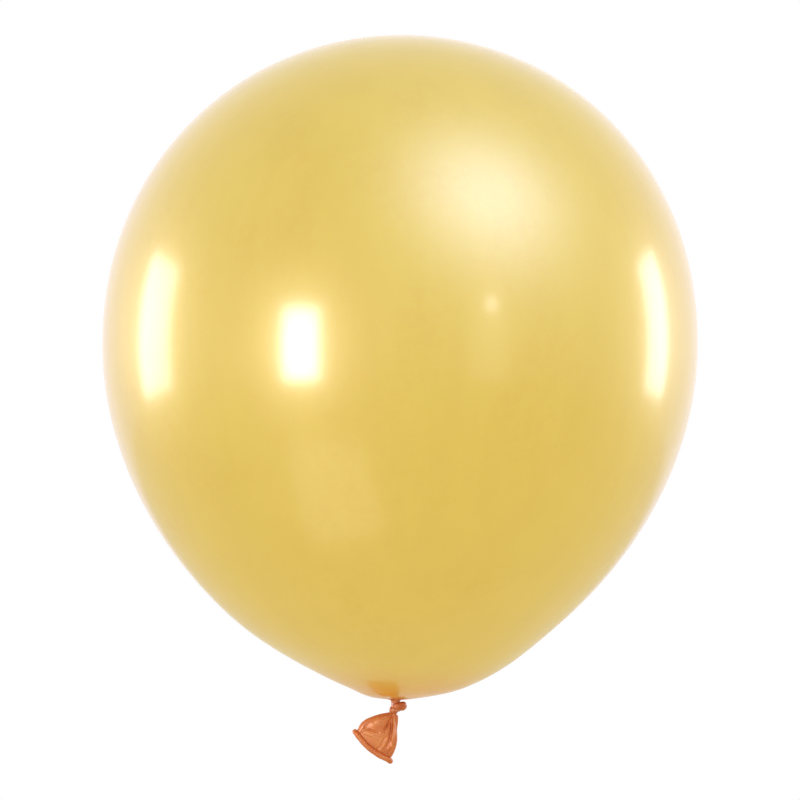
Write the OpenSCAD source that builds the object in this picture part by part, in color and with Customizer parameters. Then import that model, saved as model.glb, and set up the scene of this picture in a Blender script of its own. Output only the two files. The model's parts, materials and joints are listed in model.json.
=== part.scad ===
// Round latex party balloon, blown up and tied with an overhand knot.
// Millimetres. The origin is the middle of the tied waist, +Z runs up through the crown,
// and the tail hangs down to the left (-X) with its mouth in the XZ plane.

/* [Envelope] */
// Greatest diameter of the blown-up skin
envelope_d = 280; // [200:1:330]
// Height of the crown above the widest level
crown_rise = 146; // [120:1:170]
// Depth of the base below the widest level
base_drop = 168; // [140:1:200]
// Wall of the skin, a stand-in for film of about 0.01 mm
skin_wall = 0.4; // [0.3:0.05:0.6]
// Flat steps along each curve of the outline
outline_steps = 40; // [24:1:60]

/* [Throat] */
// Outer radius of the gathered ring of thicker film
throat_r = 26; // [20:1:34]
// Radius where the throat passes into the pucker
pucker_r = 9; // [7:0.5:11]
// Thickness of the gathered film at the pucker
gather_wall = 1.2; // [0.8:0.1:1.6]

/* [Neck and knot] */
// Radius of the tied waist
waist_r = 1.7; // [1.2:0.1:2]
// Radius of the soft ball on which the neck leans
lean_ball_r = 2.4; // [2.1:0.1:2.6]
// Height of the middle of that ball
lean_z = 1.5; // [1:0.1:2]
// Length of the knot along the neck
knot_len = 4.4; // [4:0.1:5]
// Radius of the standing part of the knot
core_r = 2.4; // [2.2:0.1:3]
// Radius of the turn wrapped round the knot, at the middle of its film
turn_r = 3.1; // [2.8:0.1:3.2]
// Radius of the bunched film in that turn
turn_film_r = 1.4; // [1.2:0.1:1.4]

/* [Tail] */
// Angle of the tail from straight down
tail_lean = 33; // [20:1:45]
// Length of the skirt from its bend to the rolled lip
skirt_len = 17.7; // [14:0.1:22]
// Flat width of the mouth, over the lip
mouth_w = 24; // [20:0.5:28]
// Depth of the flattened mouth, over the lip
mouth_d = 6; // [5:0.5:9]
// Film thickness of the slack skirt
skirt_wall = 0.6; // [0.4:0.1:0.8]
// Diameter of the rolled bead round the mouth
lip_d = 2.2; // [1.6:0.1:2.6]
// Skew of the mouth from square to the tail
mouth_skew = 6; // [0:1:10]
// Height of the folds in the skirt
fold_h = 0.9; // [0:0.1:1.2]

/* [Hidden] */

pearl_gold = [0.89, 0.78, 0.42];
deep_gold = [0.88, 0.64, 0.25];
amber = [0.80, 0.45, 0.22];

envelope_r = envelope_d / 2;
// The waist lies this far above the point where the outline would close
waist_rise = 1;
equator_z = base_drop + waist_rise;

// The outline is a superellipse above the widest level and a fuller, blunter one below it
crown_power = 2.1;
crown_root = 0.5;
base_power = 1.95;
base_root = 0.65;

// Clearances between the parts that turn on each other
gap = 0.15;
socket_gap = 0.2;
pucker_dome_wall = 0.9;

knot_top_z = -1;
bend_ball_r = 1.6;
// The pivot of the tail's bend, on the axis of the knot core
bend_x = -0.8;
bend_z = knot_top_z - knot_len;
core_base_rise = 1;
// The turn bulges to the right of the knot, where it also rides higher
turn_x = 0.9;
turn_z = -2;
turn_tilt = -9;

lip_r = lip_d / 2;
ring_sides = 48;
bead_sides = 12;
skirt_steps = 14;

round_fn = 64;

// Point of the outline at an angle t, 0 at the crown and 90 at the widest level
function crown_point(t) =
    let (up = cos(t))
    [envelope_r * pow(1 - pow(up, crown_power), crown_root), equator_z + crown_rise * up];

// Height of the base's outer face at radius r
function base_z(r) =
    equator_z - base_drop * pow(1 - pow(r / envelope_r, 1 / base_root), 1 / base_power);

// Point of the base at an angle t, with steps that crowd where the outline turns upright
function base_point(t, r_low) =
    let (r = r_low + (envelope_r - r_low) * sin(t))
    [r, base_z(r)];

function crown_curve() =
    [for (i = [0 : outline_steps]) crown_point(90 * i / outline_steps)];

function base_curve(r_low) =
    [for (i = [outline_steps - 1 : -1 : 0]) base_point(90 * i / outline_steps, r_low)];

function outer_curve() = concat(crown_curve(), base_curve(throat_r));

// The same curve drawn in by the wall, square to itself
function edge_normal(before, after) =
    let (d = after - before)
    [d[1], -d[0]] / norm(d);

function inner_curve(c, wall) =
    let (last = len(c) - 1)
    [for (i = [0 : last])
        i == 0 ? [0, c[0][1] - wall] :
        c[i] + wall * edge_normal(c[max(i - 1, 0)], c[min(i + 1, last)])];

function reversed(c) = [for (i = [len(c) - 1 : -1 : 0]) c[i]];

module envelope() {
    outer = outer_curve();
    color(pearl_gold)
    rotate_extrude($fn = round_fn)
    polygon(concat(outer, reversed(inner_curve(outer, skin_wall))));
}

// Ring of gathered film, thickening from the skin's wall to the gathered wall
throat_steps = 8;

function throat_r_at(i) =
    let (r_in = pucker_r + gap, r_out = throat_r - skin_wall / 2)
    r_in + (r_out - r_in) * i / throat_steps;

function throat_wall(i) = gather_wall + (skin_wall - gather_wall) * i / throat_steps;

module throat() {
    color(deep_gold)
    rotate_extrude($fn = round_fn)
    polygon(concat(
        [for (i = [0 : throat_steps]) [throat_r_at(i), base_z(throat_r_at(i))]],
        [for (i = [throat_steps : -1 : 0])
            [throat_r_at(i), base_z(throat_r_at(i)) + throat_wall(i)]]));
}

// Puckered middle of the base: a dished disc with a domed seat for the ball of the neck
pucker_steps = 6;
seat_r = lean_ball_r + socket_gap;

module pucker() {
    inner_r = seat_r * 0.8;
    color(deep_gold)
    difference() {
        union() {
            rotate_extrude($fn = round_fn)
            polygon(concat(
                [for (i = [0 : pucker_steps])
                    let (r = inner_r + (pucker_r - inner_r) * i / pucker_steps)
                    [r, base_z(r)]],
                [[pucker_r, base_z(pucker_r) + gather_wall],
                 [inner_r, base_z(inner_r) + gather_wall]]));
            intersection() {
                translate([0, 0, lean_z])
                sphere(r = seat_r + pucker_dome_wall, $fn = round_fn);
                translate([0, 0, base_z(seat_r)])
                cylinder(r = pucker_r, h = pucker_r, $fn = round_fn);
            }
        }
        translate([0, 0, lean_z])
        sphere(r = seat_r, $fn = round_fn);
    }
}

module neck_stem() {
    color(amber)
    union() {
        translate([0, 0, lean_z])
        sphere(r = lean_ball_r, $fn = round_fn);
        translate([0, 0, knot_top_z])
        cylinder(r = waist_r, h = lean_z - knot_top_z, $fn = round_fn);
    }
}

module turn_shape() {
    translate([turn_x, 0, turn_z])
    rotate([0, turn_tilt, 0])
    rotate_extrude($fn = round_fn)
    translate([turn_r, 0])
    circle(r = turn_film_r, $fn = round_fn);
}

// Sets its children in the tail's frame: the bend at the origin and the mouth towards -Z
module in_tail_frame() {
    translate([bend_x, 0, bend_z])
    rotate([0, tail_lean, 0])
    children();
}

module knot_core() {
    core_top_r = waist_r + 0.2;
    core_reach = 4 * knot_len;
    color(amber)
    difference() {
        union() {
            intersection() {
                translate([bend_x / 2, 0, (knot_top_z + bend_z) / 2])
                sphere(r = core_r, $fn = round_fn);
                translate([-core_reach / 2, -core_reach / 2, knot_top_z - core_reach])
                cube(core_reach);
            }
            translate([0, 0, knot_top_z - core_r / 2])
            cylinder(r = core_top_r, h = core_r / 2, $fn = round_fn);
        }
        turn_shape();
        in_tail_frame()
        union() {
            sphere(r = bend_ball_r + socket_gap, $fn = round_fn);
            translate([0, 0, core_base_rise - core_reach])
            cylinder(r = core_reach, h = core_reach, $fn = round_fn);
        }
    }
}

module knot_turn() {
    color(amber)
    turn_shape();
}

// The skirt's film starts this far below the middle of the bend
skirt_top = 1;
skirt_top_r = 1.3;
mouth_half_w = mouth_w / 2 - lip_r;
mouth_half_d = mouth_d / 2 - lip_r;

function bell(s) = sin(90 * pow(max(s - skirt_top, 0) / (skirt_len - skirt_top), 0.8));

// Half width and half depth at a distance s below the bend
function skirt_half_w(s) = skirt_top_r + (mouth_half_w - skirt_top_r) * bell(s);

function skirt_half_d(s) = skirt_top_r + (mouth_half_d - skirt_top_r) * bell(s);

// The flattened film is corrugated between the bend and the mouth
fold_turns = 420;
fold_phase = 40;

function fold_y(u, s) =
    fold_h * sin(180 * (s - skirt_top) / (skirt_len - skirt_top)) * sin(fold_turns * u + fold_phase);

function skirt_point(a, s, inset) =
    [(skirt_half_w(s) - inset) * cos(a),
     (skirt_half_d(s) - inset) * sin(a) + fold_y(cos(a) / 2, s),
     -s - skirt_half_w(s) * cos(a) * tan(mouth_skew) * s / skirt_len];

function skirt_ring(s, inset) =
    [for (k = [0 : ring_sides - 1]) skirt_point(360 * k / ring_sides, s, inset)];

// Quads, as triangles, between rings a and b of one grid of points
function band(a, b, sides) =
    [for (k = [0 : sides - 1])
        let (n = (k + 1) % sides)
        each [[a + k, a + n, b + n], [a + k, b + n, b + k]]];

function fan(centre, ring, sides, turned) =
    [for (k = [0 : sides - 1])
        let (n = (k + 1) % sides)
        turned ? [centre, ring + n, ring + k] : [centre, ring + k, ring + n]];

module skirt_film() {
    inner_top = skirt_top + skirt_wall;
    step = (skirt_len - skirt_top) / skirt_steps;
    inner_step = (skirt_len - inner_top) / skirt_steps;
    rings = skirt_steps + 1;
    outer = [for (i = [0 : skirt_steps]) each skirt_ring(skirt_top + step * i, 0)];
    inner = [for (i = [0 : skirt_steps]) each skirt_ring(inner_top + inner_step * i, skirt_wall)];
    tips = [[0, fold_y(0, skirt_top), -skirt_top], [0, fold_y(0, inner_top), -inner_top]];
    inside = rings * ring_sides;
    tip = 2 * inside;
    mouth = skirt_steps * ring_sides;
    polyhedron(
        points = concat(outer, inner, tips),
        faces = concat(
            [for (i = [0 : skirt_steps - 1])
                each band(i * ring_sides, (i + 1) * ring_sides, ring_sides)],
            [for (i = [0 : skirt_steps - 1])
                each band(inside + (i + 1) * ring_sides, inside + i * ring_sides, ring_sides)],
            band(mouth, inside + mouth, ring_sides),
            fan(tip, 0, ring_sides, true),
            fan(tip + 1, inside, ring_sides, false)));
}

module lip_bead() {
    centre = skirt_ring(skirt_len, 0);
    points = [for (k = [0 : ring_sides - 1])
        let (a = 360 * k / ring_sides, out = [cos(a), sin(a), 0])
        for (j = [0 : bead_sides - 1])
            let (b = 360 * j / bead_sides)
            centre[k] + lip_r * (cos(b) * out + [0, 0, sin(b)])];
    count = ring_sides * bead_sides;
    polyhedron(
        points = points,
        faces = [for (k = [0 : ring_sides - 1], j = [0 : bead_sides - 1])
            let (
                here = k * bead_sides,
                next = ((k + 1) % ring_sides) * bead_sides,
                j2 = (j + 1) % bead_sides)
            each [[here + j, here + j2, next + j2], [here + j, next + j2, next + j]]]);
}

module tail_skirt() {
    color(amber)
    in_tail_frame()
    difference() {
        union() {
            sphere(r = bend_ball_r, $fn = round_fn);
            skirt_film();
        }
        lip_bead();
    }
}

module rolled_lip() {
    color(amber)
    in_tail_frame()
    lip_bead();
}

envelope();
throat();
pucker();
neck_stem();
knot_core();
knot_turn();
tail_skirt();
rolled_lip();
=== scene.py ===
"""Round pearl-gold latex balloon, tied with an overhand knot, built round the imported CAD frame.

Metres, in the CAD frame: the origin is the tied waist, +Z runs up through the crown, and the camera looks
along +Y.
"""

import json
import math

import bpy
import numpy as np
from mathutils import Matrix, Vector


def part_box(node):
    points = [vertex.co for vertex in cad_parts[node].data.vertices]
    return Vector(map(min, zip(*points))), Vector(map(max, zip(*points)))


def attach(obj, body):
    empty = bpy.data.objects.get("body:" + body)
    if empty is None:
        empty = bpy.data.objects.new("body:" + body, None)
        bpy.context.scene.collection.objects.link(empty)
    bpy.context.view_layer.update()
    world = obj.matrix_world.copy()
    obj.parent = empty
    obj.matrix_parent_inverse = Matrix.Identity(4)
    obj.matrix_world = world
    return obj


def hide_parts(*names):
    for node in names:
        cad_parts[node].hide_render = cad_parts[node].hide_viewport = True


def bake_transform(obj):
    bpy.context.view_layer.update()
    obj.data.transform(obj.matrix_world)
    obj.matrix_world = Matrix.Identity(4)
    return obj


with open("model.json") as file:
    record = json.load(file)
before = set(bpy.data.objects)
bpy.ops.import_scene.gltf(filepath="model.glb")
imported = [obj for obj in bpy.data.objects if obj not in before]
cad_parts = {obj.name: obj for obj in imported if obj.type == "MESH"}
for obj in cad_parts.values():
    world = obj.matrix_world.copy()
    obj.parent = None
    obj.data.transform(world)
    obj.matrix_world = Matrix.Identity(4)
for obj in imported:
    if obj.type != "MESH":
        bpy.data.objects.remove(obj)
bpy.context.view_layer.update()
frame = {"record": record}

MM = 0.001


# ---------------------------------------------------------------- camera, light and floor

CAMERA_DISTANCE = 3.0
CAMERA_SIDE = 0.0003
CAMERA_HEIGHT = 0.1434
CAMERA_ROLL = -0.75
FRAME_WIDTH = 0.3765
SENSOR = 36.0
NEAR_CLIP, FAR_CLIP = 0.05, 30.0

LIT_HEIGHT = 0.16
FAR, NEAR = 3.0, 0.55
# Softboxes: name, degrees to the camera's right and up, degrees it fills across and up, brightness, distance
SOFTBOXES = [
    ("box_front_left", -37.5, -2.5, 14, 25, 30.0, FAR),
    ("box_side_left", -107.5, 3, 20, 27, 9.0, FAR),
    ("box_side_right", 115.5, 4, 14.5, 25, 8.0, FAR),
    ("box_front_right", 34.5, 12, 3, 3, 26.0, FAR),
    ("box_front_right_low", 34, -1, 15, 22, 1.2, FAR),
    ("box_low_left", -29, -47, 26, 36, 1.0, NEAR),
]

WHITE = (1, 1, 1)
BEHIND_COLOR = (0.5, 0.4, 1.0)
GLOW_COLOR = (0.4, 0.55, 1.0)
GLOW_SIDE, GLOW_RISE = 45, 48
GLOW_NARROWNESS, GLOW_STRENGTH = 10.5, 12.0

FLOOR_RADIUS = 2.2
FLOOR_DROP = 0.32
FLOOR_SIDES = 96
FLOOR_COLOR = (0.88, 0.82, 0.66, 1)
FLOOR_ROUGHNESS = 0.9


def make_camera():
    data = bpy.data.cameras.new("camera")
    data.sensor_width = SENSOR
    data.lens = SENSOR * CAMERA_DISTANCE / FRAME_WIDTH
    data.clip_start = NEAR_CLIP
    data.clip_end = FAR_CLIP
    camera = bpy.data.objects.new("camera", data)
    bpy.context.collection.objects.link(camera)
    camera.location = (CAMERA_SIDE, -CAMERA_DISTANCE, CAMERA_HEIGHT)
    camera.rotation_euler = (math.radians(90), math.radians(CAMERA_ROLL), 0)
    bpy.context.scene.camera = camera


def towards(side, rise):
    """Unit vector, with side degrees to the right of the camera's side and rise degrees up."""
    s, r = math.radians(side), math.radians(rise)
    return Vector((math.sin(s) * math.cos(r), -math.cos(s) * math.cos(r), math.sin(r)))


def softbox(name, side, rise, width, height, strength, distance):
    """Soft reflection: an area light that faces the balloon."""
    data = bpy.data.lights.new(name, "AREA")
    data.shape = "RECTANGLE"
    data.size = 2 * distance * math.tan(math.radians(width / 2))
    data.size_y = 2 * distance * math.tan(math.radians(height / 2))
    data.energy = strength * math.pi * data.size * data.size_y
    light = bpy.data.objects.new(name, data)
    bpy.context.collection.objects.link(light)
    way = towards(side, rise)
    light.location = Vector((0, 0, LIT_HEIGHT)) + distance * way
    light.rotation_euler = way.to_track_quat("Z", "Y").to_euler()
    light.visible_camera = False
    light.visible_diffuse = False


def make_world():
    """Studio walls over a darker ground, a cool wall behind, and one broad soft glow up on the right."""
    world = bpy.data.worlds.new("studio")
    bpy.context.scene.world = world
    world.use_nodes = True
    nodes, links = world.node_tree.nodes, world.node_tree.links
    nodes.clear()
    coords = nodes.new("ShaderNodeTexCoord").outputs["Generated"]
    path = nodes.new("ShaderNodeLightPath").outputs

    def facing(direction):
        dot = nodes.new("ShaderNodeVectorMath")
        dot.operation = "DOT_PRODUCT"
        dot.inputs[1].default_value = direction
        links.new(coords, dot.inputs[0])
        return dot.outputs["Value"]

    def ramp(value, low, high, at_low, at_high):
        node = nodes.new("ShaderNodeMapRange")
        node.interpolation_type = "SMOOTHSTEP"
        for socket, number in zip(node.inputs[1:5], (low, high, at_low, at_high)):
            socket.default_value = number
        links.new(value, node.inputs[0])
        return node.outputs[0]

    def lobe(value, narrowness, strength):
        """strength where value is 1, falling off evenly on all sides."""
        node = nodes.new("ShaderNodeMath")
        node.operation = "MULTIPLY_ADD"
        node.inputs[1].default_value = narrowness
        node.inputs[2].default_value = math.log(strength) - narrowness
        links.new(value, node.inputs[0])
        power = nodes.new("ShaderNodeMath")
        power.operation = "EXPONENT"
        links.new(node.outputs[0], power.inputs[0])
        return power.outputs[0]

    def product(first, *others):
        for other in others:
            node = nodes.new("ShaderNodeMath")
            node.operation = "MULTIPLY"
            links.new(first, node.inputs[0])
            links.new(other, node.inputs[1])
            first = node.outputs[0]
        return first

    def background(color, strength=None):
        node = nodes.new("ShaderNodeBackground")
        node.inputs["Color"].default_value = (*color, 1)
        if strength is not None:
            links.new(strength, node.inputs["Strength"])
        return node.outputs[0]

    def total(a, b):
        node = nodes.new("ShaderNodeAddShader")
        links.new(a, node.inputs[0])
        links.new(b, node.inputs[1])
        return node.outputs[0]

    # Each ramp: from one cosine to another, and the brightness at each
    front, up, key = facing(towards(0, 0)), facing(towards(0, 90)), facing(towards(GLOW_SIDE, GLOW_RISE))
    walls = product(
        ramp(front, -0.3, 1.0, 0.99, 0.90),
        ramp(up, -0.7, 0.1, 0.75, 1.0),
        ramp(up, 0.2, 1.0, 1.0, 0.82))
    behind = product(
        ramp(front, -0.9, -0.2, 0.30, 0.0),
        ramp(up, -0.75, 0.05, 0.0, 1.0),
        ramp(up, 0.1, 0.7, 1.0, 0.0))
    glow = product(lobe(key, GLOW_NARROWNESS, GLOW_STRENGTH), path["Is Glossy Ray"])
    lit = total(
        total(background(WHITE, walls), background(BEHIND_COLOR, behind)),
        background(GLOW_COLOR, glow))
    mix = nodes.new("ShaderNodeMixShader")
    links.new(path["Is Camera Ray"], mix.inputs[0])
    links.new(lit, mix.inputs[1])
    links.new(background(WHITE), mix.inputs[2])
    out = nodes.new("ShaderNodeOutputWorld")
    links.new(mix.outputs[0], out.inputs["Surface"])


def make_floor():
    """Pale floor well under the balloon, which hangs clear of it."""
    mesh = bpy.data.meshes.new("floor")
    ring = [(FLOOR_RADIUS * math.cos(a), FLOOR_RADIUS * math.sin(a), -FLOOR_DROP)
            for a in np.linspace(0, 2 * math.pi, FLOOR_SIDES, False)]
    mesh.from_pydata(ring, [], [list(range(len(ring)))])
    floor = bpy.data.objects.new("floor", mesh)
    bpy.context.collection.objects.link(floor)
    material = bpy.data.materials.new("floor")
    material.use_nodes = True
    shader = material.node_tree.nodes["Principled BSDF"]
    shader.inputs["Base Color"].default_value = FLOOR_COLOR
    shader.inputs["Roughness"].default_value = FLOOR_ROUGHNESS
    mesh.materials.append(material)


make_camera()
make_world()
for box in SOFTBOXES:
    softbox(*box)
make_floor()
bpy.context.scene.view_settings.view_transform = "Standard"


# ---------------------------------------------------------------- mesh helpers

def smooth(x, low, high):
    """0 below low, 1 above high, and an even curve between them."""
    t = np.clip((np.asarray(x, float) - low) / (high - low), 0, 1)
    return t * t * (3 - 2 * t)


def curve_through(at, values):
    """Smooth curve through a few chosen values, as a function."""
    at, values = np.array(at, float), np.array(values, float)
    slopes = np.gradient(values, at)

    def f(x):
        x = np.clip(x, at[0], at[-1])
        i = np.clip(np.searchsorted(at, x, side="right") - 1, 0, len(at) - 2)
        h = at[i + 1] - at[i]
        t = (x - at[i]) / h
        return ((2 * t**3 - 3 * t**2 + 1) * values[i] + (t**3 - 2 * t**2 + t) * h * slopes[i]
                + (3 * t**2 - 2 * t**3) * values[i + 1] + (t**3 - t**2) * h * slopes[i + 1])
    return f


def grid_faces(rows, columns, offset=0, flip=False):
    """Quads between the rows of a grid whose columns close on themselves."""
    faces = []
    for i in range(rows - 1):
        for j in range(columns):
            k = (j + 1) % columns
            quad = [offset + i * columns + j, offset + (i + 1) * columns + j,
                    offset + (i + 1) * columns + k, offset + i * columns + k]
            faces.append(quad[::-1] if flip else quad)
    return faces


def fan_faces(ring, centre, flip=False):
    """Triangles from a ring of points to the point that closes it."""
    count = len(ring)
    faces = [[ring[j], ring[(j + 1) % count], centre] for j in range(count)]
    return [f[::-1] for f in faces] if flip else faces


SHARP_ABOVE = 60


def make_piece(name, points, faces, material, stretch_and_painted_light):
    """Object from points and faces, with the film's stretch, and on the tail its painted shade and
    highlights, stored at each point.
    """
    mesh = bpy.data.meshes.new(name)
    mesh.from_pydata([tuple(p) for p in points], [], faces)
    mesh.validate()
    attribute = mesh.attributes.new("stretch_and_painted_light", "FLOAT", "POINT")
    attribute.data.foreach_set("value", np.asarray(stretch_and_painted_light, np.float32))
    mesh.shade_smooth()
    mesh.set_sharp_from_angle(angle=math.radians(SHARP_ABOVE))
    mesh.materials.append(material)
    piece = bpy.data.objects.new(name, mesh)
    bpy.context.collection.objects.link(piece)
    return piece


def shell(name, outer, inner, material, stretch_and_painted_light, closed_start=False, closed_end=False):
    """Closed film between two grids of rows of points; an end is either a pole or a rim."""
    rows, columns = outer.shape[:2]
    count = rows * columns
    points = np.concatenate([outer.reshape(-1, 3), inner.reshape(-1, 3)])
    values = np.concatenate([stretch_and_painted_light.reshape(-1), stretch_and_painted_light.reshape(-1)])
    faces = grid_faces(rows, columns) + grid_faces(rows, columns, count, flip=True)
    for row, closed, flip in ((0, closed_start, False), (rows - 1, closed_end, True)):
        ring = [row * columns + j for j in range(columns)]
        back = [count + r for r in ring]
        if closed:
            for loop, turned in ((ring, flip), (back, not flip)):
                points = np.concatenate([points, points[loop].mean(0)[None]])
                values = np.append(values, values[loop[0]])
                faces += fan_faces(loop, len(points) - 1, turned)
        else:
            for j in range(columns):
                k = (j + 1) % columns
                quad = [ring[j], ring[k], back[k], back[j]]
                faces.append(quad[::-1] if flip else quad)
    return make_piece(name, points, faces, material, values)


def grid_normals(points):
    """Outward normals of a grid of rows whose columns close on themselves."""
    along = np.gradient(points, axis=0)
    around = np.roll(points, -1, 1) - np.roll(points, 1, 1)
    normal = np.cross(along, around)
    length = np.linalg.norm(normal, axis=2, keepdims=True)
    return normal / np.maximum(length, 1e-12)


# ---------------------------------------------------------------- latex

# Colours of the film from slackest, which is also the painted shade of the tail's fold valleys, to stretched
# tight, each at its place between 0 and 1
CREASE_SHADE_AND_SLACKEST = (0.400, 0.075, 0.012, 1)
STRETCHED = (0.890, 0.645, 0.100, 1)
BETWEEN_COLORS = [
    (0.12, (0.680, 0.180, 0.032, 1)),
    (0.27, (0.800, 0.300, 0.090, 1)),
    (0.45, (0.860, 0.400, 0.020, 1)),
]
STREAK_TINT = (0.93, 0.90, 0.80, 1)
FLAKE_COLOR = (1.0, 0.93, 0.7, 1)
SHEEN_TINT = (1.0, 0.82, 0.62, 1)
FILM_IOR = 1.5
FILM_SCATTER = (1.0, 0.45, 0.15)
FILM_DEPTH = 1.2 * MM
# Noises: waves in a metre, detail, roughness, and for the streaks how much they run down the balloon
CLOUDS = (22, 3, 0.55)
BLOTCHES = (210, 2, 0.5)
STREAKS = (60, 2, 0.5, 0.15)
FLAKES = (2600, 1, 0.6)
WRINKLES = (1500, 4, 0.6)


def make_latex(name, pearl, roughness, coat, coat_roughness, glow, wrinkle):
    """Pearl latex. The stretch of the film sets its colour, together with the shade and highlights painted
    into it on the tail; flakes, mottling and wrinkles break it up.

    Pearl is how metallic it is, coat its gloss, glow the light let through, wrinkle a height in metres.
    """
    material = bpy.data.materials.new(name)
    material.use_nodes = True
    nodes, links = material.node_tree.nodes, material.node_tree.links
    shader = nodes["Principled BSDF"]
    shader.inputs["Metallic"].default_value = pearl
    shader.inputs["Coat Weight"].default_value = coat
    shader.inputs["Coat Roughness"].default_value = coat_roughness
    shader.inputs["Coat IOR"].default_value = FILM_IOR
    shader.inputs["IOR"].default_value = FILM_IOR
    shader.inputs["Specular Tint"].default_value = SHEEN_TINT
    shader.inputs["Subsurface Weight"].default_value = glow
    shader.inputs["Subsurface Radius"].default_value = FILM_SCATTER
    shader.inputs["Subsurface Scale"].default_value = FILM_DEPTH

    coords = nodes.new("ShaderNodeTexCoord").outputs["Object"]

    def noise(scale, detail, rough, stretch_z=1.0):
        place = nodes.new("ShaderNodeMapping")
        place.inputs["Scale"].default_value = (1, 1, stretch_z)
        links.new(coords, place.inputs["Vector"])
        node = nodes.new("ShaderNodeTexNoise")
        node.inputs["Scale"].default_value = scale
        node.inputs["Detail"].default_value = detail
        node.inputs["Roughness"].default_value = rough
        links.new(place.outputs[0], node.inputs["Vector"])
        return node.outputs["Fac"]

    def between(value, low, high, at_low, at_high):
        node = nodes.new("ShaderNodeMapRange")
        for socket, number in zip(node.inputs[1:5], (low, high, at_low, at_high)):
            socket.default_value = number
        links.new(value, node.inputs[0])
        return node.outputs[0]

    def mixed(kind, factor, a, b):
        node = nodes.new("ShaderNodeMix")
        node.data_type = "RGBA"
        node.blend_type = kind
        links.new(factor, node.inputs[0])
        for socket, given in ((node.inputs[6], a), (node.inputs[7], b)):
            if isinstance(given, tuple):
                socket.default_value = given
            else:
                links.new(given, socket)
        return node.outputs[2]

    def added(a, b):
        node = nodes.new("ShaderNodeMath")
        node.operation = "ADD"
        links.new(a, node.inputs[0])
        links.new(b, node.inputs[1])
        return node.outputs[0]

    # The film's stretch, with the tail's painted fold shade and painted highlights, read from each point
    film = nodes.new("ShaderNodeAttribute")
    film.attribute_name = "stretch_and_painted_light"
    clouds = noise(*CLOUDS)
    streaks = noise(*STREAKS)
    flakes = noise(*FLAKES)

    large, small = between(clouds, 0.3, 0.7, -0.04, 0.04), between(noise(*BLOTCHES), 0.35, 0.65, -0.02, 0.03)
    wavering = added(film.outputs["Fac"], added(large, small))
    ramp = nodes.new("ShaderNodeValToRGB")
    ramp.color_ramp.interpolation = "LINEAR"
    stops = ramp.color_ramp.elements
    # The darkest stop is also the painted shade of the fold valleys
    stops[0].position, stops[0].color = 0.0, CREASE_SHADE_AND_SLACKEST
    stops[1].position, stops[1].color = 1.0, STRETCHED
    for place, color in BETWEEN_COLORS:
        stops.new(place).color = color
    links.new(wavering, ramp.inputs[0])
    mottled = mixed("MULTIPLY", between(streaks, 0.35, 0.7, 0.0, 0.35), ramp.outputs[0], STREAK_TINT)
    pearly = mixed("SCREEN", between(flakes, 0.55, 0.8, 0.0, 0.16), mottled, FLAKE_COLOR)
    links.new(pearly, shader.inputs["Base Color"])
    links.new(between(clouds, 0.3, 0.7, roughness - 0.03, roughness + 0.04), shader.inputs["Roughness"])

    bump = nodes.new("ShaderNodeBump")
    bump.inputs["Strength"].default_value = 1.0
    bump.inputs["Distance"].default_value = wrinkle
    links.new(noise(*WRINKLES), bump.inputs["Height"])
    links.new(bump.outputs[0], shader.inputs["Normal"])
    return material


tight_latex = make_latex("tight_latex", pearl=0.02, roughness=0.42, coat=0.78, coat_roughness=0.17,
                         glow=0.0, wrinkle=0.000002)
slack_latex = make_latex("slack_latex", pearl=0.10, roughness=0.48, coat=0.18, coat_roughness=0.22,
                         glow=0.30, wrinkle=0.00002)


# ---------------------------------------------------------------- blown-up skin

low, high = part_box("envelope")
SKIN_R = (high.x - low.x) / 2
CROWN_Z = high.z
CROWN_RISE = 146 * MM
BASE_DROP = 168 * MM
EQUATOR_Z = CROWN_Z - CROWN_RISE
CROWN_POWER, CROWN_ROOT = 2.1, 0.5
BASE_POWER, BASE_ROOT = 1.95, 0.65
SKIN_WALL = 0.4 * MM
GATHERED_WALL = 0.8 * MM
THROAT_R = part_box("throat")[1].x
PUCKER_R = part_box("pucker")[1].x
SEAM_SLACK = 0.1 * MM

COLUMNS = 240
POLE_ANGLE = 0.4
CROWN_ROWS, BASE_ROWS, THROAT_ROWS = 90, 110, 40


def base_z(r):
    """Height of the round skin at radius r, below its widest place."""
    return EQUATOR_Z - BASE_DROP * (1 - (r / SKIN_R) ** (1 / BASE_ROOT)) ** (1 / BASE_POWER)


# Gathers: how many go round, height and phase
PLEATS = [(9, 0.5, 0.4), (13, 0.8, 1.9), (17, 1.0, 4.1), (23, 0.6, 2.7)]
PLEATS_HEIGHT = 2.2
PLEATS_LAG = 0.2

# What the round skin is pushed by, and where each push starts and is full
GATHER, GATHER_IN_R, GATHER_OUT_R, GATHER_SPREAD = 0.30 * MM, 3 * MM, 24 * MM, 0.25
BULGE, BULGE_Z, BULGE_SPREAD, BULGE_IN_R, BULGE_OUT_R = 4.4 * MM, 10 * MM, 17 * MM, 8 * MM, 27 * MM
DIMPLE, DIMPLE_SPREAD, DIMPLE_FOOT_Z, DIMPLE_FULL_Z = 1.5 * MM, 13 * MM, -2 * MM, 1.2 * MM
LOW_Z, HIGH_Z = 20 * MM, 60 * MM
SWAY = 0.6 * MM

# How tight the film is, and over what radii that changes
BASE_TIGHTNESS, BASE_IN_R, BASE_OUT_R = 0.42, 12 * MM, 58 * MM
CROWN_LOSS, CROWN_IN_R, CROWN_OUT_R = 0.12, 5 * MM, 22 * MM
NECK_IN_R, NECK_OUT_R = 1.5 * MM, 14 * MM
LEAST_TIGHTNESS = 0.15


def pleats(angle):
    """Uneven gathers round the neck, about 1 high."""
    return sum(a * np.cos(n * angle + p) for n, a, p in PLEATS) / PLEATS_HEIGHT


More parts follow.
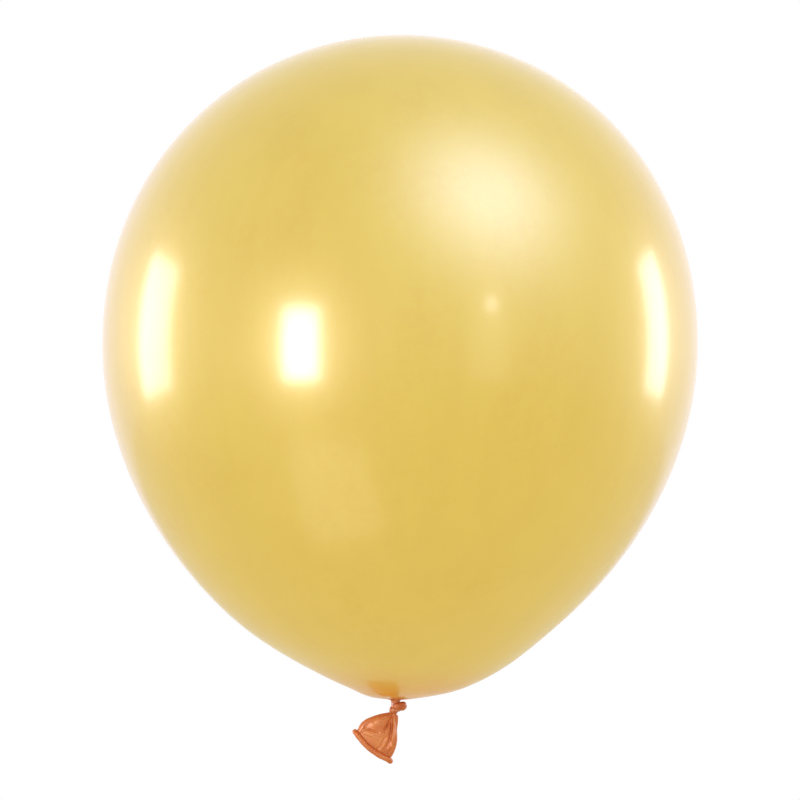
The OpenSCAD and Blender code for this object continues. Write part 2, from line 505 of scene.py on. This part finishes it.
def lay_out(r, z, angle):
    """Point of the skin: its round place, pulled into gathers near the neck and lopsided at the base."""
    low_down = smooth(-z, -HIGH_Z, -LOW_Z)
    gather = GATHER * smooth(-r, -GATHER_OUT_R, -GATHER_IN_R) ** 1.5 * low_down
    r = r + GATHER_SPREAD * gather * pleats(angle)
    z = z + gather * pleats(angle + PLEATS_LAG)
    bulge = BULGE * np.exp(-((z - BULGE_Z) / BULGE_SPREAD) ** 2) * smooth(r, BULGE_IN_R, BULGE_OUT_R)
    sway = SWAY * smooth(z, EQUATOR_Z, CROWN_Z)
    dimple = DIMPLE * np.exp(-(r / DIMPLE_SPREAD) ** 2) * smooth(z, DIMPLE_FOOT_Z, DIMPLE_FULL_Z) * low_down
    return np.stack([r * np.cos(angle) + bulge + sway, r * np.sin(angle), z + dimple], -1)


def revolve(r, z):
    """Grid of the skin round its axis, from a profile."""
    angle = np.linspace(0, 2 * np.pi, COLUMNS, False)[None, :]
    return lay_out(np.asarray(r)[:, None] + 0 * angle, np.asarray(z)[:, None] + 0 * angle, angle)


def film_shell(name, r, z, wall, stretch_and_painted_light, material, **ends):
    """Skin of a given wall on a profile."""
    outer = revolve(r, z)
    inner = outer - grid_normals(outer) * np.broadcast_to(wall, len(r))[:, None, None]
    values = np.broadcast_to(np.asarray(stretch_and_painted_light)[:, None], outer.shape[:2])
    return shell(name, outer, inner, material, values, **ends)


def stretch_at(r, z):
    """How tight the film is: 1 over most of the skin, less in the crown's thick spot and towards the neck."""
    below = z < EQUATOR_Z
    base = np.where(below, BASE_TIGHTNESS + (1 - BASE_TIGHTNESS) * smooth(r, BASE_IN_R, BASE_OUT_R), 1.0)
    crown = np.where(z > EQUATOR_Z, CROWN_LOSS * (1 - smooth(r, CROWN_IN_R, CROWN_OUT_R)), 0.0)
    neck = np.where(below, smooth(r, NECK_IN_R, NECK_OUT_R), 1.0)
    return np.maximum((base - crown) * neck, LEAST_TIGHTNESS)


def make_envelope():
    """The blown-up skin, from the crown down to the throat."""
    t = np.radians(np.linspace(POLE_ANGLE, 90, CROWN_ROWS))
    crown_r = SKIN_R * (1 - np.cos(t) ** CROWN_POWER) ** CROWN_ROOT
    crown_z = EQUATOR_Z + CROWN_RISE * np.cos(t)
    u = np.radians(np.linspace(90, 0, BASE_ROWS))[1:]
    base_r = THROAT_R + (SKIN_R - THROAT_R) * np.sin(u)
    r = np.concatenate([crown_r, base_r])
    z = np.concatenate([crown_z, base_z(base_r)])
    skin = film_shell("envelope_skin", r, z, SKIN_WALL, stretch_at(r, z), tight_latex, closed_start=True)
    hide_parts("envelope")
    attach(skin, "balloon")


def make_throat():
    """The gathered ring, from the throat in to the pucker."""
    r = np.linspace(THROAT_R, PUCKER_R, THROAT_ROWS)
    z = base_z(r)
    wall = SKIN_WALL + (GATHERED_WALL - SKIN_WALL) * smooth(-r, -THROAT_R, -PUCKER_R)
    ring = film_shell("throat_skin", r, z, wall, stretch_at(r, z), tight_latex)
    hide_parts("throat")
    turned_z = revolve(r, z)[-1, :, 2].max() + SEAM_SLACK
    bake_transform(ring)


make_envelope()
make_throat()


# ---------------------------------------------------------------- neck and knot

WAIST_R = 2.0 * MM
WAIST_SWELL = 0.12
FLARE_R, FLARE_DROP = 3.6 * MM, 1.3 * MM
NECK_FOOT_Z = -3.0 * MM
DISH_ROWS, FLARE_ROWS, STEM_ROWS = 26, 16, 22


def make_neck():
    """The puckered middle of the base, turning down into the strand that runs to the knot."""
    dish_r = np.linspace(PUCKER_R, FLARE_R, DISH_ROWS)
    dish_z = base_z(dish_r)
    turn = np.radians(np.linspace(0, 90, FLARE_ROWS))[1:]
    turn_r = FLARE_R - (FLARE_R - WAIST_R) * np.sin(turn)
    turn_z = dish_z[-1] - FLARE_DROP * (1 - np.cos(turn))
    stem_z = np.linspace(turn_z[-1], NECK_FOOT_Z, STEM_ROWS)[1:]
    stem_r = WAIST_R * (1 + WAIST_SWELL * smooth(-stem_z, 0, -NECK_FOOT_Z))
    r = np.concatenate([dish_r, turn_r, stem_r])
    z = np.concatenate([dish_z, turn_z, stem_z])
    wall = np.clip(GATHERED_WALL, 0, 0.45 * r)
    neck = film_shell("neck_film", r, z, wall, stretch_at(r, z), tight_latex, closed_end=True)
    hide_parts("pucker", "neck_stem")
    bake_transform(neck)


KNOT_SIDES, CORE_RINGS, TURN_RINGS = 72, 40, 90
CREASE_COUNTS = (5, 8, 13, 21)
CREASE_DRIFT, CREASE_WAVES = 1.2, 2.3
KNOT_STRETCH = 0.05

# Paths of the knot's core and of its turn, in mm and degrees
CORE_TOP, CORE_FOOT = -0.2, -4.9
CORE_HALF_W, CORE_HALF_D, CORE_CREASES, CORE_SEED = 2.1 * MM, 2.3 * MM, 0.045, 3

TURN_FROM, TURN_TO = -128, 150
TURN_CENTRE, TURN_REACH = (0.9, 0.2), (2.75, 2.5)
TURN_TOP, TURN_SINK, TURN_TILT = -0.65, 0.9, 0.30
TURN_HALF_W, TURN_HALF_D, TURN_CREASES, TURN_SEED = 1.75 * MM, 2.1 * MM, 0.05, 8


def sweep(path, width, depth, wrinkles, side_hint, seed):
    """Grid of rings along a path. width and depth are half sizes; wrinkles deepens creases along the film."""
    path = np.asarray(path, float)
    tangent = np.gradient(path, axis=0)
    tangent /= np.linalg.norm(tangent, axis=1, keepdims=True)
    side = np.cross(tangent, np.asarray(side_hint, float))
    side /= np.linalg.norm(side, axis=1, keepdims=True)
    up = np.cross(side, tangent)
    draw = np.random.default_rng(seed)
    phases = draw.uniform(0, 2 * np.pi, len(CREASE_COUNTS))
    angle = np.linspace(0, 2 * np.pi, KNOT_SIDES, False)[None, :]
    step = np.linspace(0, 1, len(path))[:, None]
    ridge = sum(np.cos(n * angle + p + CREASE_DRIFT * np.sin(CREASE_WAVES * step * np.pi + p)) / (k + 1.5)
                for k, (n, p) in enumerate(zip(CREASE_COUNTS, phases)))
    scale = 1 + wrinkles * ridge
    w = np.asarray(width)[:, None] * scale
    d = np.asarray(depth)[:, None] * scale
    return (path[:, None, :] + side[:, None, :] * (w * np.cos(angle))[..., None]
            + up[:, None, :] * (d * np.sin(angle))[..., None])


def solid_piece(name, grid, material):
    """Closed piece from a grid of rings, with a cap at each end."""
    rows, columns = grid.shape[:2]
    points = grid.reshape(-1, 3)
    faces = grid_faces(rows, columns)
    for row, flip in ((0, False), (rows - 1, True)):
        ring = [row * columns + j for j in range(columns)]
        points = np.concatenate([points, points[ring].mean(0)[None]])
        faces += fan_faces(ring, len(points) - 1, flip)
    return make_piece(name, points, faces, material, np.full(len(points), KNOT_STRETCH))


def make_knot():
    """The standing part of the overhand knot and the turn that is drawn tight round it."""
    z = np.linspace(CORE_TOP, CORE_FOOT, CORE_RINGS) * MM
    t = np.linspace(0, 1, CORE_RINGS)
    path = np.stack([(-0.5 - 0.5 * t) * MM, (-0.1 + 0.2 * t) * MM, z], -1)
    swell = np.sin(np.pi * np.clip(t * 0.94 + 0.03, 0, 1)) ** 0.55
    core = solid_piece(
        "knot_core_film",
        sweep(path, CORE_HALF_W * swell, CORE_HALF_D * swell, CORE_CREASES, (0, 1, 0.01), CORE_SEED),
        slack_latex)
    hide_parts("knot_core")
    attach(core, "knot")

    turn = np.radians(np.linspace(TURN_FROM, TURN_TO, TURN_RINGS))
    s = np.linspace(0, 1, TURN_RINGS)
    path = np.stack([
        (TURN_CENTRE[0] + TURN_REACH[0] * np.cos(turn)) * MM,
        (TURN_CENTRE[1] + TURN_REACH[1] * np.sin(turn)) * MM,
        (TURN_TOP - TURN_SINK * s * s + TURN_TILT * np.cos(turn)) * MM], -1)
    fat = np.sin(np.pi * np.clip(0.06 + 0.88 * s, 0, 1)) ** 0.35
    loop = solid_piece(
        "knot_turn_film",
        sweep(path, TURN_HALF_W * fat, TURN_HALF_D * fat, TURN_CREASES, (0, 0, 1), TURN_SEED),
        slack_latex)
    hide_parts("knot_turn")
    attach(loop, "knot")


make_neck()
make_knot()


# ---------------------------------------------------------------- slack tail

flap = next(j for j in frame["record"]["behaviour"]["joints"] if j["name"] == "tail_flap")
BEND = np.array(flap["pos_m"])
ACROSS = np.array(flap["axis"]) / np.linalg.norm(flap["axis"])
BACK = np.array([0.0, 1.0, 0.0])
DOWN = -np.cross(ACROSS, BACK)

# The tail's measures are in mm down from the bend, across the flat film, and towards its back
SKIRT_TOP = -1.4
LIP_DOWN = 17.35
LIP_SKEW = 0.1
LIP_BOW = 1.5
FILM = 0.42
SKIRT_ROWS, SKIRT_COLUMNS = 130, 256
# Stretch of the slack film, and how strongly fold height paints shade into valleys and highlights onto ridges
SLACK_STRETCH, FOLD_SHADE_AND_HIGHLIGHT = 0.10, 0.07
SKIRT_GATHER, SKIRT_GATHER_TWIST = 0.13, 0.6
FACE_FROM, FACE_FULL = 0.1, 0.75
FOLD_END, FOLD_ROUND, FOLD_SHARPNESS = 0.45, 0.05, 1.4
LIP_HOLD, LIP_HOLD_FROM = 0.75, 0.86

LIP_RINGS, LIP_SIDES = 220, 40
LIP_R = 1.28
LIP_OUT = 0.62
LIP_STRETCH = 0.09
# The roll's edge and its seam: depth against the radius, place and width round the bead
LIP_GROOVES = [(0.16, 128, 0.16), (0.07, 215, 0.12)]

# Left and right edges and half depth of the flattened film, from the knot (0) to the lip (1)
left_edge = curve_through(
    [0, 0.08, 0.2, 0.4, 0.58, 0.74, 0.88, 1],
    [-1.7, -3.1, -5.4, -8.3, -10.2, -10.9, -10.7, -10.4])
right_edge = curve_through(
    [0, 0.12, 0.32, 0.45, 0.65, 0.84, 1],
    [1.6, 3.1, 5.2, 7.1, 9.0, 9.8, 9.8])
half_depth = curve_through(
    [0, 0.15, 0.45, 0.75, 1],
    [1.5, 1.9, 2.7, 2.3, 1.3])

# Folds as strokes over the flat film: points (across, down), width and height, all in mm
FRONT_FOLDS = [
    ([(-0.9, -1.4), (0.7, 0.9), (2.5, 3.2), (4.7, 6.8), (7.2, 12.2)], 0.75, 0.95),
    ([(-0.6, -0.6), (0.6, 2.6), (2.4, 5.6), (4.6, 10.2), (5.5, 14.2)], 0.65, -0.85),
    ([(-0.5, 1.2), (-0.2, 4.6), (0.4, 8.3)], 0.7, -1.0),
    ([(-2.2, 2.0), (-4.4, 5.0), (-5.6, 8.0)], 2.2, 0.7),
    ([(-7.6, 12.2), (-4.6, 11.2), (-1.7, 10.2)], 0.55, -0.55),
    ([(-7.0, 14.0), (-3.0, 13.0), (1.4, 12.6)], 0.9, 0.45),
    ([(2.3, 11.2), (2.5, 16.6)], 0.45, -0.5),
    ([(3.5, 9.6), (3.8, 16.6)], 0.6, 0.45),
    ([(7.9, 11.5), (7.7, 16.5)], 0.5, -0.35),
    ([(-8.6, 8.0), (-8.2, 12.4), (-8.6, 16.0)], 0.6, -0.35),
]
BACK_FOLDS = [
    ([(0.6, -1.2), (-1.6, 3.0), (-4.4, 8.0), (-7.0, 13.6)], 0.8, 0.9),
    ([(0.9, 0.6), (0.6, 5.0), (-1.2, 10.0), (-2.0, 15.0)], 0.7, -0.85),
    ([(1.4, 1.0), (3.4, 5.4), (4.4, 10.6)], 1.6, 0.75),
    ([(5.2, 8.2), (6.2, 12.0), (6.0, 16.6)], 0.55, -0.5),
    ([(1.0, 12.4), (3.6, 12.0)], 0.5, -0.45),
    ([(-5.4, 13.0), (-5.0, 16.6)], 0.5, -0.4),
]

# Painted highlights, places where the film is painted paler: across, down, half width, half height, amount
PAINTED_HIGHLIGHT_SPOTS = [(-3.6, 12.6, 3.0, 1.9, 0.13), (-4.6, 6.0, 2.8, 2.4, 0.07), (1.6, 13.6, 1.0, 2.2, 0.10),
              (4.4, 13.0, 1.1, 2.6, 0.05)]


def fold_height(folds, across, down):
    """Sum of the strokes at points of the flat film, in mm."""
    total = np.zeros_like(across)
    for stroke, width, height in folds:
        nearest = np.full_like(across, 1e9)
        reach = np.zeros_like(across)
        for k in range(len(stroke) - 1):
            (x0, s0), (x1, s1) = stroke[k], stroke[k + 1]
            dx, ds = x1 - x0, s1 - s0
            t = np.clip(((across - x0) * dx + (down - s0) * ds) / (dx * dx + ds * ds), 0, 1)
            far = np.hypot(across - x0 - t * dx, down - s0 - t * ds)
            closer = far < nearest
            nearest = np.where(closer, far, nearest)
            reach = np.where(closer, (k + t) / (len(stroke) - 1), reach)
        fade = FOLD_END + (1 - FOLD_END) * np.sin(np.pi * np.clip(reach, FOLD_ROUND, 1 - FOLD_ROUND))
        total += height * fade * np.exp(-(nearest / width) ** 2 * FOLD_SHARPNESS)
    return total


def in_tail(across, depth, down):
    """Points in metres from tail measures in mm: across the film, towards the back, and down the tail."""
    return BEND + MM * (across[..., None] * ACROSS + depth[..., None] * BACK + down[..., None] * DOWN)


def skirt_measures(v, angle):
    """Across, depth and down measures of the film at v from knot to lip, and how far its folds stand out,
    which is painted as shade in the valleys and highlight on the ridges.
    """
    left, right = left_edge(v), right_edge(v)
    middle, half = (left + right) / 2, (right - left) / 2
    gathers = SKIRT_GATHER * pleats(angle + SKIRT_GATHER_TWIST * v) * (1 - smooth(v, 0.02, 0.34))
    across = middle + half * np.cos(angle) * (1 + gathers * 0.5)
    side = np.sign(np.sin(angle)) * np.abs(np.sin(angle)) ** 0.8
    depth = half_depth(v) * side * (1 + gathers)
    bow = LIP_BOW * (1 - ((across - middle) / half) ** 2)
    down = SKIRT_TOP + (LIP_DOWN + LIP_SKEW * across + bow - SKIRT_TOP) * v
    face = smooth(np.abs(np.sin(angle)), FACE_FROM, FACE_FULL)
    near_lip = 1 - LIP_HOLD * smooth(v, LIP_HOLD_FROM, 1.0)
    folds = np.where(np.sin(angle) < 0, -fold_height(FRONT_FOLDS, across, down),
                     fold_height(BACK_FOLDS, across, down))
    # Painted shade and highlight from the folds: above 0 on ridges, below 0 in valleys
    fold_shade_and_highlight = np.abs(folds) * np.sign(folds * np.sin(angle)) * face
    return across, depth + folds * face * near_lip, down, fold_shade_and_highlight


def make_skirt():
    """The slack film below the knot."""
    v = (np.linspace(0, 1, SKIRT_ROWS) ** 0.95)[:, None]
    angle = np.linspace(0, 2 * np.pi, SKIRT_COLUMNS, False)[None, :]
    across, depth, down, fold_shade_and_highlight = skirt_measures(v + 0 * angle, angle + 0 * v)
    outer = in_tail(across, depth, down)
    inner = outer - grid_normals(outer) * FILM * MM
    # Painted highlights: paler spots on the film's facets
    painted_highlight = sum(h * np.exp(-((across - a) / w) ** 2 - ((down - d) / e) ** 2) for a, d, w, e, h in PAINTED_HIGHLIGHT_SPOTS)
    # Painted shade and highlights ride on the slack film's stretch: fold valleys darker, fold ridges and the
    # spots paler
    values = SLACK_STRETCH + FOLD_SHADE_AND_HIGHLIGHT * fold_shade_and_highlight + painted_highlight
    skirt = shell("tail_skirt_film", outer, inner, slack_latex, values, closed_start=True)
    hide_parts("tail_skirt")
    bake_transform(skirt)


def make_lip():
    """The rolled bead: film rolled outwards on itself, with the roll's edge showing as a groove."""
    angle = np.linspace(0, 2 * np.pi, LIP_RINGS, False)
    across, depth, down, _ = skirt_measures(np.ones(LIP_RINGS), angle)
    centre = in_tail(across, depth, down)
    along = np.roll(centre, -1, 0) - np.roll(centre, 1, 0)
    along /= np.linalg.norm(along, axis=1, keepdims=True)
    outward = np.cross(DOWN, along)
    outward /= np.linalg.norm(outward, axis=1, keepdims=True)
    wave = 0.10 * np.sin(3 * angle + 0.7) + 0.06 * np.sin(7 * angle + 2.0)
    centre = centre + outward * LIP_OUT * MM + DOWN * (wave * MM)[:, None]
    thick = LIP_R * (1 + 0.04 * np.sin(5 * angle + 1.1) + 0.03 * np.sin(11 * angle))
    turn = np.linspace(0, 2 * np.pi, LIP_SIDES, False)[None, :]
    groove, seam = (h * np.exp(-((turn - math.radians(at)) / w) ** 2) for h, at, w in LIP_GROOVES)
    radius = thick[:, None] * (1 - groove - seam) * MM
    grid = (centre[:, None, :] + outward[:, None, :] * (radius * np.cos(turn))[..., None]
            - DOWN * (radius * np.sin(turn))[..., None])
    points = grid.reshape(-1, 3)
    last = (LIP_RINGS - 1) * LIP_SIDES
    faces = grid_faces(LIP_RINGS, LIP_SIDES)
    faces += [[last + j, j, (j + 1) % LIP_SIDES, last + (j + 1) % LIP_SIDES] for j in range(LIP_SIDES)]
    lip = make_piece("rolled_lip_bead", points, faces, slack_latex, np.full(len(points), LIP_STRETCH))
    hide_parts("rolled_lip")
    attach(lip, "tail")


make_skirt()
make_lip()
